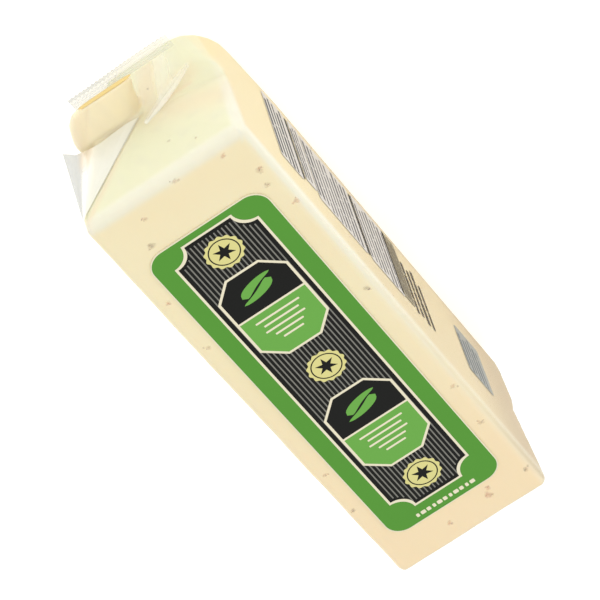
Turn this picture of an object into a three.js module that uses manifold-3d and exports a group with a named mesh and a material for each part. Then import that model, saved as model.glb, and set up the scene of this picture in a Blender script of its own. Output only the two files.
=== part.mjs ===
// A loaf of hot pepper cheese in clear film, lying on its back with the label up.
// Millimetres. +Z is up, out of the label. +Y runs along the loaf, to the end that the label's top points at.
// The origin is under the loaf's middle, on the surface that it lies on.
import * as THREE from "three";
import { ConvexGeometry } from "three/addons/geometries/ConvexGeometry.js";
import { mergeVertices } from "three/addons/utils/BufferGeometryUtils.js";
import Module from "manifold-3d";

// The loaf
const LOAF_LENGTH = 278;
const LOAF_WIDTH = 84;
const LOAF_HEIGHT = 94;
const LABEL_EDGE_RADIUS = 3.5; // long edges beside the label
const BACK_EDGE_RADIUS = 7; // long edges that it lies on
const TOP_SIDE_RADIUS = 6; // top end's edges, seen from above the label
const TOP_LABEL_RADIUS = 5; // top end's edge on the label's side
const BOTTOM_SIDE_RADIUS = 2.5; // bottom end's edges, seen from above the label
const BOTTOM_LABEL_RADIUS = 1.8; // bottom end's edge on the label's side
const END_BACK_RADIUS = 17; // both ends' edges on the back, seen from the side

// The top end's right back corner is rounder than the others. The rounding fades out over its reach.
const SLACK_CORNER = { across: 20, along: 24, up: 12 };
const SLACK_CORNER_REACH = { across: 42, along: 65, up: 45 };

// The folded ends. A rise is a height over the end plane, and a drop is a depth under it.
const FOLD_HEIGHT = 46; // height above the back at which an end is pinched shut
const SLACK_CREASE_X = -23; // where the crease from the left corner meets the neck
const SLACK_SLOPE = 1.1; // fall of the slack panel for each millimetre away from that crease
const TUCK_CREASE_X = 2; // where the crease from the right corner meets the neck
const TUCK_DROP = 7; // depth of the right tuck at the side face
const TUCK_BACK_HEIGHT = 30; // height above the back at which the tuck runs out
const CUT_LIFT = 5; // how far the cuts reach over the end plane
const CUT_OVERRUN = 1.1; // share of the tuck's width that its cut takes in
const SLACK_REACH = 1.3 * LOAF_HEIGHT; // length and width of the slack panel's cut

// The neck of cheese that the pinched film holds, one section to a row
const NECK_SECTIONS = [
  { rise: -22, left: -33, right: 2, thickness: 17 },
  { rise: 2, left: -33, right: 2.5, thickness: 16 },
  { rise: 11, left: -29.5, right: 5, thickness: 12 },
  { rise: 17, left: -25, right: 7.3, thickness: 7 },
  { rise: 20.5, left: -19, right: 8.5, thickness: 1.6 },
];
const NECK_SIDES = 28;
const NECK_SQUARENESS = 3; // 2 makes the section an ellipse, and more makes it squarer

// The crimped seal over the neck, with the bare web of film beside it
const SEAL_LEFT = -20.5;
const SEAL_RIGHT = 32.5;
const SEAL_FOOT = 21;
const SEAL_TOP = 28;
const TOOTH_PITCH = 2.2;
const TOOTH_HEIGHT = 1;
const WEB_RIGHT = 31;
const WEB_RIGHT_FOOT = 7.6;
const WEB_GAP = 1.05; // gap from the neck's side to the web
const FILM_THICKNESS = 0.6;

// The ear of slack film beside the neck
const EAR_REST = 0.6; // rise of the ear where it lies on the end
const EAR_TIP_RISE = 2.6;
const EAR_TIP_X = -39.5;
const EAR_INNER_X = -4;
const EAR_TIP_DEPTH = 4; // how far the tip lies behind the fold
const EAR_NOTCH_DEPTH = 2.7; // how far the ear reaches behind the fold beside the neck

// The label
const LABEL_WIDTH = 63;
const LABEL_LENGTH = 222;
const LABEL_CENTRE_X = -0.9;
const LABEL_CENTRE_Y = -4.8;
const LABEL_CORNER_RADIUS = 9.5;
const LABEL_THICKNESS = 0.3;

const SEAT_GAP = 0.35; // gap between pieces that touch
const ARC_STEPS = 8;
const BALL_STEPS = 24;
const MERGE_DISTANCE = 1e-4;

const HALF_LENGTH = LOAF_LENGTH / 2;
const HALF_WIDTH = LOAF_WIDTH / 2;

const wasm = await Module();
wasm.setup();

// Solids from geometries, and back

function solidOf(geometry) {
  const bare = geometry.clone();
  bare.deleteAttribute("normal");
  bare.deleteAttribute("uv");
  const merged = mergeVertices(bare, MERGE_DISTANCE);
  return new wasm.Manifold(
    new wasm.Mesh({
      numProp: 3,
      vertProperties: new Float32Array(merged.attributes.position.array),
      triVerts: new Uint32Array(merged.index.array),
    }),
  );
}

function geometryOf(solid) {
  const mesh = solid.getMesh();
  const geometry = new THREE.BufferGeometry();
  geometry.setAttribute("position", new THREE.BufferAttribute(mesh.vertProperties, 3));
  geometry.setIndex(new THREE.BufferAttribute(mesh.triVerts, 1));
  geometry.computeVertexNormals();
  return geometry;
}

// Shapes

// A rectangle about the origin. Its corner radii go right top, left top, left bottom, right bottom.
function roundedRectangle(width, height, [rightTop, leftTop, leftBottom, rightBottom]) {
  const x = width / 2;
  const y = height / 2;
  const turn = Math.PI / 2;
  const shape = new THREE.Shape();
  shape.absarc(x - rightTop, y - rightTop, rightTop, 0, turn);
  shape.absarc(leftTop - x, y - leftTop, leftTop, turn, 2 * turn);
  shape.absarc(leftBottom - x, leftBottom - y, leftBottom, 2 * turn, 3 * turn);
  shape.absarc(x - rightBottom, rightBottom - y, rightBottom, 3 * turn, 4 * turn);
  return shape;
}

// A straight prism of the shape, centred along the shape's third axis.
function prism(shape, depth) {
  const settings = { depth, bevelEnabled: false, curveSegments: ARC_STEPS };
  return new THREE.ExtrudeGeometry(shape, settings).translate(0, 0, -depth / 2);
}

// A point near the +Y end, from its place across the loaf, its rise and its height above the back.
function endPoint(x, rise, z) {
  return new THREE.Vector3(x, HALF_LENGTH + rise, z);
}

// The same geometry at the other end of the loaf.
function mirrored(geometry) {
  const copy = geometry.index ? geometry.toNonIndexed() : geometry.clone();
  copy.deleteAttribute("normal");
  copy.deleteAttribute("uv");
  copy.scale(1, -1, 1);
  const position = copy.attributes.position;
  const second = new THREE.Vector3();
  const third = new THREE.Vector3();
  for (let i = 0; i < position.count; i += 3) {
    second.fromBufferAttribute(position, i + 1);
    third.fromBufferAttribute(position, i + 2);
    position.setXYZ(i + 1, ...third);
    position.setXYZ(i + 2, ...second);
  }
  copy.computeVertexNormals();
  return copy;
}

// The wrapped loaf

// The brick is what three prisms share: its cross section, its side view and its view from above.
function brick() {
  const label = LABEL_EDGE_RADIUS;
  const back = BACK_EDGE_RADIUS;
  const section = roundedRectangle(LOAF_WIDTH, LOAF_HEIGHT, [label, label, back, back]);
  const sideRadii = [TOP_LABEL_RADIUS, BOTTOM_LABEL_RADIUS, END_BACK_RADIUS, END_BACK_RADIUS];
  const sideView = roundedRectangle(LOAF_LENGTH, LOAF_HEIGHT, sideRadii);
  const topRadii = [TOP_SIDE_RADIUS, TOP_SIDE_RADIUS, BOTTOM_SIDE_RADIUS, BOTTOM_SIDE_RADIUS];
  const topView = roundedRectangle(LOAF_WIDTH, LOAF_LENGTH, topRadii);
  const upright = Math.PI / 2;
  return solidOf(prism(section, LOAF_LENGTH).rotateX(upright))
    .intersect(solidOf(prism(sideView, LOAF_WIDTH).rotateX(upright).rotateZ(upright)))
    .intersect(solidOf(prism(topView, LOAF_HEIGHT)))
    .translate([0, 0, LOAF_HEIGHT / 2]);
}

function pointsOf(geometry) {
  const position = geometry.attributes.position;
  return Array.from({ length: position.count }, (_, i) => new THREE.Vector3().fromBufferAttribute(position, i));
}

// The brick with its slack corner: what lies round the corner, closed again over a ball.
function brickWithSlackCorner() {
  const { across, along, up } = SLACK_CORNER;
  const reach = SLACK_CORNER_REACH;
  const block = new THREE.BoxGeometry(2 * reach.across, 2 * reach.along, 2 * reach.up);
  const ball = new THREE.SphereGeometry(1, BALL_STEPS, BALL_STEPS / 2).scale(across, along, up);
  block.translate(...endPoint(HALF_WIDTH, 0, 0));
  ball.translate(...endPoint(HALF_WIDTH - across, -along, up));
  const rest = geometryOf(brick().subtract(solidOf(block)));
  return new ConvexGeometry([...pointsOf(rest), ...pointsOf(ball)]);
}

// All that the slack panel takes off. The panel falls away to the left and back from the crease
// between the end's left label corner and the neck.
function slackCut() {
  const corner = new THREE.Vector2(-HALF_WIDTH, LOAF_HEIGHT);
  const foot = new THREE.Vector2(SLACK_CREASE_X, FOLD_HEIGHT);
  const along = foot.sub(corner).normalize();
  const away = new THREE.Vector2(along.y, -along.x);
  const points = [];
  for (const distance of [-LABEL_EDGE_RADIUS, SLACK_REACH]) {
    for (const side of [0, SLACK_REACH]) {
      const at = corner.clone().addScaledVector(along, distance).addScaledVector(away, side);
      points.push(endPoint(at.x, -SLACK_SLOPE * side, at.y), endPoint(at.x, CUT_LIFT, at.y));
    }
  }
  return new ConvexGeometry(points);
}

// All that the shallow tuck takes off the right side. It starts at the neck and is deepest past the side face.
function tuckCut() {
  const x = TUCK_CREASE_X + CUT_OVERRUN * (HALF_WIDTH - TUCK_CREASE_X);
  const rim = [
    [TUCK_CREASE_X, FOLD_HEIGHT],
    [x, FOLD_HEIGHT + CUT_OVERRUN * (LOAF_HEIGHT - FOLD_HEIGHT)],
    [x, FOLD_HEIGHT + CUT_OVERRUN * (TUCK_BACK_HEIGHT - FOLD_HEIGHT)],
  ];
  const bottom = endPoint(x, -CUT_OVERRUN * TUCK_DROP, FOLD_HEIGHT);
  const walls = rim.flatMap(([rimX, rimZ]) => [endPoint(rimX, 0, rimZ), endPoint(rimX, CUT_LIFT, rimZ)]);
  return new ConvexGeometry([bottom, ...walls]);
}

// The outline of one section of the neck. Its label side stands along the fold.
function neckSection({ rise, left, right, thickness }) {
  const rounded = (value) => Math.sign(value) * Math.abs(value) ** (2 / NECK_SQUARENESS);
  return Array.from({ length: NECK_SIDES }, (_, i) => {
    const angle = (2 * Math.PI * i) / NECK_SIDES;
    const x = (left + right) / 2 + (rounded(Math.cos(angle)) * (right - left)) / 2;
    const z = FOLD_HEIGHT + ((rounded(Math.sin(angle)) - 1) * thickness) / 2;
    return endPoint(x, rise, z);
  });
}

// The neck thins towards the seal, one block between each two sections.
function neckBlocks() {
  const outlines = NECK_SECTIONS.map(neckSection);
  return outlines.slice(1).map((outline, i) => new ConvexGeometry([...outlines[i], ...outline]));
}

function wrappedLoaf() {
  const cuts = [slackCut(), tuckCut()];
  const blocks = neckBlocks();
  let loaf = solidOf(brickWithSlackCorner());
  for (const cut of [...cuts, ...cuts.map(mirrored)]) loaf = loaf.subtract(solidOf(cut));
  for (const block of [...blocks, ...blocks.map(mirrored)]) loaf = loaf.add(solidOf(block));
  return geometryOf(loaf);
}

// The film that stands clear of the cheese

// The seal is a toothed band, and its web fills the corner between the neck and the end.
function endSeal() {
  const top = NECK_SECTIONS.at(-1);
  const shape = new THREE.Shape();
  shape.moveTo(SEAL_LEFT, SEAL_FOOT);
  shape.lineTo(top.right + SEAT_GAP, SEAL_FOOT);
  for (const { rise, right } of NECK_SECTIONS.slice(1, -1).reverse()) {
    shape.lineTo(right + WEB_GAP, rise);
  }
  shape.lineTo(WEB_RIGHT, WEB_RIGHT_FOOT);
  shape.lineTo(SEAL_RIGHT, SEAL_TOP);
  const teeth = Math.round((SEAL_RIGHT - SEAL_LEFT) / TOOTH_PITCH);
  const pitch = (SEAL_RIGHT - SEAL_LEFT) / teeth;
  for (let i = 0; i < teeth; i++) {
    shape.lineTo(SEAL_RIGHT - (i + 0.5) * pitch, SEAL_TOP + TOOTH_HEIGHT);
    shape.lineTo(SEAL_RIGHT - (i + 1) * pitch, SEAL_TOP);
  }
  const height = FOLD_HEIGHT - top.thickness / 2;
  return prism(shape, FILM_THICKNESS).translate(0, HALF_LENGTH, height);
}

// A thin plate under a fan of triangles round its first point. The thickness goes out from the end.
function fanPlate(points, thickness) {
  const corners = [...points, ...points.map((p) => p.clone().setY(p.y + thickness))];
  const count = points.length;
  const faces = [];
  for (let i = 1; i < count - 1; i++) {
    faces.push([0, i + 1, i], [count, count + i, count + i + 1]);
  }
  for (let i = 0; i < count; i++) {
    const next = (i + 1) % count;
    faces.push([i, count + next, count + i], [i, next, count + next]);
  }
  const geometry = new THREE.BufferGeometry().setFromPoints(faces.flat().map((i) => corners[i]));
  geometry.computeVertexNormals();
  return geometry;
}

// The ear is a fold of empty film. It runs from the left label corner to a free tip beside the neck.
function filmEar() {
  const base = NECK_SECTIONS[1];
  const beside = base.left - 2 * SEAT_GAP;
  const over = FOLD_HEIGHT + 2 * SEAT_GAP;
  return fanPlate(
    [
      endPoint(-HALF_WIDTH + SEAT_GAP, EAR_REST, LOAF_HEIGHT - TOP_LABEL_RADIUS),
      endPoint(EAR_INNER_X, EAR_REST, over),
      endPoint(beside, EAR_REST, over),
      endPoint(beside, EAR_TIP_RISE, FOLD_HEIGHT - EAR_NOTCH_DEPTH),
      endPoint(EAR_TIP_X, EAR_TIP_RISE, FOLD_HEIGHT - EAR_TIP_DEPTH),
    ],
    FILM_THICKNESS,
  );
}

function frontLabel() {
  const outline = roundedRectangle(LABEL_WIDTH, LABEL_LENGTH, Array(4).fill(LABEL_CORNER_RADIUS));
  const height = LOAF_HEIGHT + SEAT_GAP + LABEL_THICKNESS / 2;
  return prism(outline, LABEL_THICKNESS).translate(LABEL_CENTRE_X, LABEL_CENTRE_Y, height);
}

// The object

const object = new THREE.Group();

function addPiece(name, geometry, look) {
  const mesh = new THREE.Mesh(geometry, new THREE.MeshStandardMaterial({ metalness: 0, ...look }));
  mesh.name = name;
  object.add(mesh);
}

const CHEESE_LOOK = { color: 0xf5e4bb, roughness: 0.35 };
const FILM_LOOK = { color: 0xeef0ee, roughness: 0.15, transparent: true, opacity: 0.35 };
const LABEL_LOOK = { color: 0x66a34a, roughness: 0.4 };

addPiece("wrapped_loaf", wrappedLoaf(), CHEESE_LOOK);
addPiece("front_label", frontLabel(), LABEL_LOOK);
addPiece("end_seal_top", endSeal(), FILM_LOOK);
addPiece("end_seal_bottom", mirrored(endSeal()), FILM_LOOK);
addPiece("film_ear_top", filmEar(), FILM_LOOK);
addPiece("film_ear_bottom", mirrored(filmEar()), FILM_LOOK);

export default object;
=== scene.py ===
"""Looks for a loaf of hot pepper cheese in clear film. It is laid out as an add-on and is run as a script.

Every size is in metres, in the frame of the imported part: +Z up out of the label, +Y along the loaf.
"""

import random
from contextlib import contextmanager
from math import cos, exp, pi, radians, sin, sqrt, tau

import bmesh
import bpy
import numpy as np
from bpy.props import FloatProperty, FloatVectorProperty, IntProperty, PointerProperty
from mathutils import Matrix, Quaternion, Vector, noise
from mathutils.geometry import tessellate_polygon


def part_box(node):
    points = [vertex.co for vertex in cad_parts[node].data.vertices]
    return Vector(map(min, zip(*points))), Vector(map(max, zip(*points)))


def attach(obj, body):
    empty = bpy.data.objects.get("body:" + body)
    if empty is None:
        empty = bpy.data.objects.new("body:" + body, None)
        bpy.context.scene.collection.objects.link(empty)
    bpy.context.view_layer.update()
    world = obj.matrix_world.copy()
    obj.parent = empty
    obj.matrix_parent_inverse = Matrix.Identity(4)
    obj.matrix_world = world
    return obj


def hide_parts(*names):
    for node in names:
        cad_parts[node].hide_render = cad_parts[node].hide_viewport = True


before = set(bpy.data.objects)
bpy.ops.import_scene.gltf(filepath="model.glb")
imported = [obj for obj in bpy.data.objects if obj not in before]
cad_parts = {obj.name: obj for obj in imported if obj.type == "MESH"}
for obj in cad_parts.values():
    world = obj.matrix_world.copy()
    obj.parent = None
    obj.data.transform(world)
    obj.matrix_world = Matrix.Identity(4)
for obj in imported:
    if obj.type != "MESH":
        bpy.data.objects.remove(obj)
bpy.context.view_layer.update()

bl_info = {
    "name": "Wrapped Cheese Loaf",
    "version": (1, 0, 0),
    "blender": (4, 5, 0),
    "location": "3D View > Sidebar > Cheese",
    "description": "Dresses a packed cheese loaf with cheese, film, label and print",
    "category": "Object",
}

MM = 0.001
BODY = "root"
LOAF_LOW, LOAF_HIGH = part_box("wrapped_loaf")
SEAL_LOW, SEAL_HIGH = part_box("end_seal_top")
LABEL_LOW, LABEL_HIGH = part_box("front_label")
LABEL_X = (LABEL_LOW.x + LABEL_HIGH.x) / 2
LABEL_Y = (LABEL_LOW.y + LABEL_HIGH.y) / 2
LABEL_WIDTH = LABEL_HIGH.x - LABEL_LOW.x
LABEL_LENGTH = LABEL_HIGH.y - LABEL_LOW.y

# The flat ends lie at END_Y, and each neck stands NECK_RISE beyond them, pinched at the height FOLD_Z
NECK_RISE = 20.5 * MM
END_Y = LOAF_HIGH.y - NECK_RISE
FOLD_Z = SEAL_HIGH.z + 0.5 * MM
ENDS = {"top": 1, "bottom": -1}


def linear(red, green, blue):
    """The scene colour of an sRGB colour given in 0 to 255."""
    def one(value):
        value = value / 255
        return value / 12.92 if value <= 0.04045 else ((value + 0.055) / 1.055) ** 2.4
    return (one(red), one(green), one(blue))


# Shader maths


class Value:
    """A socket that carries a number. Operators on it add Math nodes."""

    def __init__(self, shader, socket):
        self.shader = shader
        self.socket = socket

    def math(self, operation, *others, clamp=False):
        settings = {"operation": operation, "use_clamp": clamp}
        return self.shader.number("ShaderNodeMath", settings, dict(enumerate([self, *others])))

    def __add__(self, other):
        return self.math("ADD", other)

    __radd__ = __add__

    def __sub__(self, other):
        return self.math("SUBTRACT", other)

    def __rsub__(self, other):
        return (self * -1) + other

    def __mul__(self, other):
        return self.math("MULTIPLY", other)

    __rmul__ = __mul__

    def clamped(self):
        return self.math("ADD", 0.0, clamp=True)

    def step(self, low, high):
        """0 below low, 1 above high, smooth between."""
        settings = {"interpolation_type": "SMOOTHSTEP"}
        inputs = {"Value": self, "From Min": low, "From Max": high}
        return self.shader.number("ShaderNodeMapRange", settings, inputs)


class Shader:
    """Builds one material's nodes."""

    def __init__(self, name):
        self.material = bpy.data.materials.new(name)
        self.material.use_nodes = True
        self.tree = self.material.node_tree
        self.tree.nodes.clear()
        self.output = self.node("ShaderNodeOutputMaterial")
        self.place = self.node("ShaderNodeTexCoord").outputs["Object"]

    def node(self, kind, settings=None, inputs=None):
        """A node of any kind. Settings come first, then the values or links of its sockets."""
        made = self.tree.nodes.new(kind)
        for key, value in (settings or {}).items():
            setattr(made, key, value)
        for key, value in (inputs or {}).items():
            self.feed(made.inputs[key], value)
        return made

    def feed(self, socket, value):
        if isinstance(value, Value):
            value = value.socket
        if isinstance(value, bpy.types.NodeSocket):
            self.tree.links.new(value, socket)
        elif socket.type == "RGBA":
            socket.default_value = (*value, 1.0)
        else:
            socket.default_value = value

    def number(self, kind, settings=None, inputs=None, output=0):
        return Value(self, self.node(kind, settings, inputs).outputs[output])

    def mix(self, factor, first, second):
        """A colour between two."""
        settings = {"data_type": "RGBA", "clamp_factor": True}
        made = self.node("ShaderNodeMix", settings, {0: factor, 6: first, 7: second})
        return made.outputs[2]

    def noise(self, scale, detail=3.0, roughness=0.5):
        inputs = {"Vector": self.place, "Scale": scale, "Detail": detail, "Roughness": roughness}
        return self.number("ShaderNodeTexNoise", None, inputs, "Fac")

    def attribute(self, name):
        return self.number("ShaderNodeAttribute", {"attribute_name": name}, None, "Fac")

    def film_fresnel(self):
        return self.number("ShaderNodeFresnel", None, {"IOR": 1.4})

    def bump(self, height, distance, strength=1.0):
        inputs = {"Height": height, "Distance": distance, "Strength": strength}
        return self.node("ShaderNodeBump", None, inputs).outputs["Normal"]

    def principled(self, **inputs):
        """The usual surface, with its sockets named in small letters."""
        named = {key.replace("_", " ").title().replace("Ior", "IOR"): value for key, value in inputs.items()}
        return self.node("ShaderNodeBsdfPrincipled", None, named)

    def finish(self, surface):
        self.tree.links.new(surface.outputs[0], self.output.inputs["Surface"])
        return self.material

    def finish_clear(self, cover, surface):
        """Ends with a surface that is seen as far as cover says, and is clear elsewhere."""
        clear = self.node("ShaderNodeBsdfTransparent")
        inputs = {0: cover.clamped(), 1: clear.outputs[0], 2: surface.outputs[0]}
        return self.finish(self.node("ShaderNodeMixShader", None, inputs))


# Meshes


def new_piece(name, mesh, material, replaces=()):
    """Puts a mesh in the scene as a piece that rides on the loaf."""
    mesh.name = name
    mesh.materials.clear()
    mesh.materials.append(material)
    piece = bpy.data.objects.new(name, mesh)
    bpy.context.scene.collection.objects.link(piece)
    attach(piece, BODY)
    if replaces:
        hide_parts(*replaces)


def mesh_from(vertices, faces, smooth=False):
    mesh = bpy.data.meshes.new("mesh")
    mesh.from_pydata([tuple(v) for v in vertices], [], faces)
    mesh.validate()
    if smooth:
        mesh.shade_smooth()
    else:
        mesh.shade_flat()
    mesh.update()
    return mesh


@contextmanager
def editing(mesh):
    """Lends the mesh's faces and edges for a change, and writes them back."""
    work = bmesh.new()
    work.from_mesh(mesh)
    yield work
    work.to_mesh(mesh)
    work.free()


def vectors_of(items, key):
    flat = np.empty(len(items) * 3, np.float32)
    items.foreach_get(key, flat)
    return flat.reshape(-1, 3).astype(float)


def points_of(mesh):
    return vectors_of(mesh.vertices, "co")


def normals_of(mesh):
    return vectors_of(mesh.vertex_normals, "vector")


def set_points(mesh, points):
    mesh.vertices.foreach_set("co", points.astype(np.float32).ravel())
    mesh.update()


def store_attribute(mesh, name, values):
    mesh.attributes.new(name, "FLOAT", "POINT").data.foreach_set("value", values.astype(np.float32))


def with_modifiers(mesh, *modifiers):
    """The mesh after modifiers, each given as its type and settings."""
    holder = bpy.data.objects.new("holder", mesh)
    bpy.context.scene.collection.objects.link(holder)
    for kind, settings in modifiers:
        modifier = holder.modifiers.new(kind, kind)
        for key, value in settings.items():
            setattr(modifier, key, value)
    depsgraph = bpy.context.evaluated_depsgraph_get()
    result = bpy.data.meshes.new_from_object(holder.evaluated_get(depsgraph))
    bpy.data.objects.remove(holder)
    return result


def ramp(value, low, high):
    """0 below low, 1 above high, smooth between."""
    t = np.clip((value - low) / (high - low), 0, 1)
    return t * t * (3 - 2 * t)


def distance_to_line(points, start, end):
    """How far each point lies from the line between two points."""
    start, end = np.array(start), np.array(end)
    along = end - start
    share = np.clip((points - start) @ along / (along @ along), 0, 1)
    return np.linalg.norm(points - start - share[:, None] * along, axis=1)


def distance_to_path(points, path):
    return np.min([distance_to_line(points, a, b) for a, b in zip(path, path[1:])], axis=0)


def noise_at(points, scale, seed):
    """Smooth noise from -1 to 1 at each point."""
    shift = Vector((seed * 7.3, seed * 3.1, seed * 5.7))
    return np.array([noise.noise(Vector(p) * scale + shift) for p in points])


# Outlines, as lists of (x, y)


def arc(centre, radius, start, end, steps):
    angles = [radians(start + (end - start) * i / steps) for i in range(steps + 1)]
    return [(centre[0] + radius * cos(a), centre[1] + radius * sin(a)) for a in angles]


def rounded_rectangle(width, height, radius, steps=10):
    x, y = width / 2 - radius, height / 2 - radius
    corners = [(x, y), (-x, y), (-x, -y), (x, -y)]
    return [p for i, c in enumerate(corners) for p in arc(c, radius, 90 * i, 90 * (i + 1), steps)]


def ticket(width, height, radius, steps=10):
    """A rectangle with hollow round corners."""
    x, y = width / 2, height / 2
    corners = [((x, y), 270), ((-x, y), 0), ((-x, -y), 90), ((x, -y), 180)]
    return [p for c, start in corners for p in arc(c, radius, start, start - 90, steps)]


def octagon(width, height, cut):
    x, y = width / 2, height / 2
    return [
        (x, y - cut), (x - cut, y), (cut - x, y), (-x, y - cut),
        (-x, cut - y), (cut - x, -y), (x - cut, -y), (x, cut - y),
    ]


def rosette(radius, lobes, depth, steps=8):
    """A circle with shallow lobes."""
    count = lobes * steps
    turns = [2 * pi * i / count for i in range(count)]
    radii = [radius - depth * (0.5 - 0.5 * cos(lobes * t)) for t in turns]
    return [(r * cos(t), r * sin(t)) for r, t in zip(radii, turns)]


def moved(outline, x, y, turn=0.0):
    c, s = cos(radians(turn)), sin(radians(turn))
    return [(x + c * u - s * v, y + s * u + c * v) for u, v in outline]


class Print:
    """Thin closed plates that lie on one face of the loaf, gathered into one mesh."""

    def __init__(self, place):
        self.place = place
        self.vertices = []
        self.faces = []

    def outline(self, points, height):
        """Adds the points of an outline and gives the first one's number."""
        first = len(self.vertices)
        self.vertices += [self.place(x, y, height) for x, y in points]
        return first

    def wall(self, first, second, count):
        """Adds the faces between two outlines, given by their first points."""
        around = [(i, (i + 1) % count) for i in range(count)]
        self.faces += [[first + i, first + j, second + j, second + i] for i, j in around]

    def plate(self, points, low, high):
        """A filled outline from one height over the face to another."""
        bottom, top = self.outline(points, low), self.outline(points, high)
        triangles = tessellate_polygon([[Vector((x, y, 0)) for x, y in points]])
        self.faces += [[top + i for i in t] for t in triangles]
        self.faces += [[bottom + i for i in reversed(t)] for t in triangles]
        self.wall(bottom, top, len(points))

    def ring(self, outer, inner, low, high):
        """The band between two outlines with as many points each."""
        outer_low, outer_high, inner_low, inner_high = (
            self.outline(points, height) for points in (outer, inner) for height in (low, high))
        self.wall(outer_low, outer_high, len(outer))
        self.wall(inner_high, inner_low, len(outer))
        self.wall(outer_high, inner_high, len(outer))
        self.wall(inner_low, outer_low, len(outer))

    def mesh(self):
        mesh = mesh_from(self.vertices, self.faces)
        with editing(mesh) as work:
            bmesh.ops.recalc_face_normals(work, faces=work.faces)
        return mesh


# Sizes and colours


def length(name, millimetres, description):
    return FloatProperty(name=name, description=description, default=millimetres * MM,
                         unit="LENGTH", subtype="DISTANCE", precision=5)


def colour(name, rgb, description):
    return FloatVectorProperty(name=name, description=description, default=linear(*rgb),
                               subtype="COLOR", min=0.0, max=1.0)


class CheeseSettings(bpy.types.PropertyGroup):
    voxel: length("Mesh step", 1.6, "Side of the cells that the cheese surface is built from")
    sag: length("Unevenness", 0.35, "How far the cheese surface wanders from flat")
    body: colour("Cheese", (244, 232, 193), "Pale cheese")
    warm: colour("Warm patches", (243, 226, 183), "Slightly deeper patches in the cheese")
    low: colour("Bottom", (247, 226, 186), "Cheese towards the bottom end")
    # The ends' paler tone is partly the haze of the slacker film and partly a painted sheen of light on it
    end: colour("End", (231, 229, 195), "Cheese behind the slacker film of the ends")
    # The necks' paler cheese is painted light, which lifts the shade that falls on them
    neck: colour("Neck", (250, 237, 202), "Cheese in the necks")
    # The pale edge is a painted highlight, where light catches the film over the rounded edges
    edge: colour("Pale edge", (237, 234, 214), "Cheese where the film is stretched over an edge")
    # The right side is the same cheese as the front: its two deeper colours are painted shade
    side: colour("Right side", (238, 220, 167), "Right side, which is a little deeper than the front")
    deep: colour("Right side, deepest", (195, 169, 120), "Right side towards the bottom end")
    crease: colour("Crease", (227, 204, 174), "Cheese in the shade of a crease")


class FleckSettings(bpy.types.PropertyGroup):
    count: IntProperty(name="Flecks", description="Flecks on the sides, back and bottom end", default=46)
    red: colour("Red pepper", (226, 178, 148), "Red pepper under the surface")
    tan: colour("Pale pepper", (216, 192, 162), "Pepper deep under the surface")
    dark: colour("Dark pepper", (176, 160, 136), "Green and black pepper at the surface")
    spread: length("Crumbs", 1.9, "How far the crumbs beside a fleck lie from it")


class FilmSettings(bpy.types.PropertyGroup):
    gap: length("Film gap", 0.22, "Distance from the cheese to the film")
    veil: FloatProperty(name="Veil", description="How milky the tight film is", default=0.05,
                        min=0.0, max=1.0)
    # The grey of one layer of loose film is a painted reflection of darker surroundings, seen against the
    # white floor
    clear: colour("Film", (188, 190, 186), "Loose film, one layer thick")
    milky: colour("Folded film", (248, 246, 231), "Loose film where it lies in several layers")
    # Painted shade: the tone of cheese in shade, tinted onto the loose film in the pocket by the neck and
    # beside the ear's tip
    painted_shade_tint: colour("Smear", (236, 222, 198), "Cheese smeared on the loose film beside the neck")
    gold: colour("Seal line", (246, 218, 147), "Cheese pressed into the foot of the seal")
    crimp_pitch: length("Crimp pitch", 1.4, "Distance between the ribs of the seal")
    crimp_depth: length("Crimp depth", 0.22, "Height of the ribs of the seal")


class LabelSettings(bpy.types.PropertyGroup):
    border: length("Border", 0.5, "Width of the pale border")
    panel_width: length("Panel width", 44, "Width of the dark panel")
    panel_length: length("Panel length", 206, "Length of the dark panel")
    panel_shift: length("Panel shift", 3.4, "How far the panel sits above the label's middle")
    stripe_pitch: length("Stripe pitch", 2.1, "Distance between the fine stripes")
    green: colour("Green", (86, 151, 54), "Green field")
    bright: colour("Bright green", (108, 172, 74), "Green of the plaques")
    dark: colour("Dark", (17, 18, 15), "Dark panel")
    cream: colour("Cream", (236, 228, 200), "Border and outlines")
    grey: colour("Grey", (128, 127, 119), "Fine stripes")
    gold: colour("Pale gold", (222, 215, 142), "Small rosettes")


# The looks of each material


def cheese_material(settings):
    shader = Shader("cheese")
    patches = shader.noise(18.0)
    fine = shader.noise(420.0, 4.0)
    speckle = shader.noise(900.0, 2.0)
    lengthwise = shader.number("ShaderNodeSeparateXYZ", None, {0: shader.place}, 1)
    base = shader.mix(patches.step(0.35, 0.75) * 0.5, settings.body, settings.warm)
    base = shader.mix(1 - lengthwise.step(-0.12, 0.02), base, settings.low)
    # Painted shade on the right side, deepest towards the bottom end and the back
    side = shader.mix(shader.attribute("deep"), settings.side, settings.deep)
    base = shader.mix(shader.attribute("side"), base, side)
    # Then the ends' tone, painted light on the necks, the painted edge highlight and the painted crease shade
    for name in ("end", "neck", "edge", "crease"):
        base = shader.mix(shader.attribute(name), base, getattr(settings, name))
    base = shader.mix(speckle.step(0.62, 0.75) * 0.12, base, settings.crease)
    surface = shader.principled(
        base_color=base,
        roughness=fine * 0.15 + 0.4,
        subsurface_weight=0.12,
        subsurface_radius=(0.006, 0.004, 0.002),
        subsurface_scale=0.6,
        normal=shader.bump(fine, 0.00004),
    )
    return shader.finish(surface)


def fleck_material(settings):
    shader = Shader("pepper_flecks")
    tone = shader.attribute("tone")
    base = shader.mix(tone.step(0.3, 0.4), settings.tan, settings.red)
    base = shader.mix(tone.step(0.65, 0.75), base, settings.dark)
    patch = shader.noise(900.0)
    pepper = shader.principled(
        base_color=base,
        roughness=patch * 0.2 + 0.45,
        normal=shader.bump(patch, 0.00006),
    )
    return shader.finish_clear(shader.attribute("strength") * (patch + 0.05), pepper)


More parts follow.
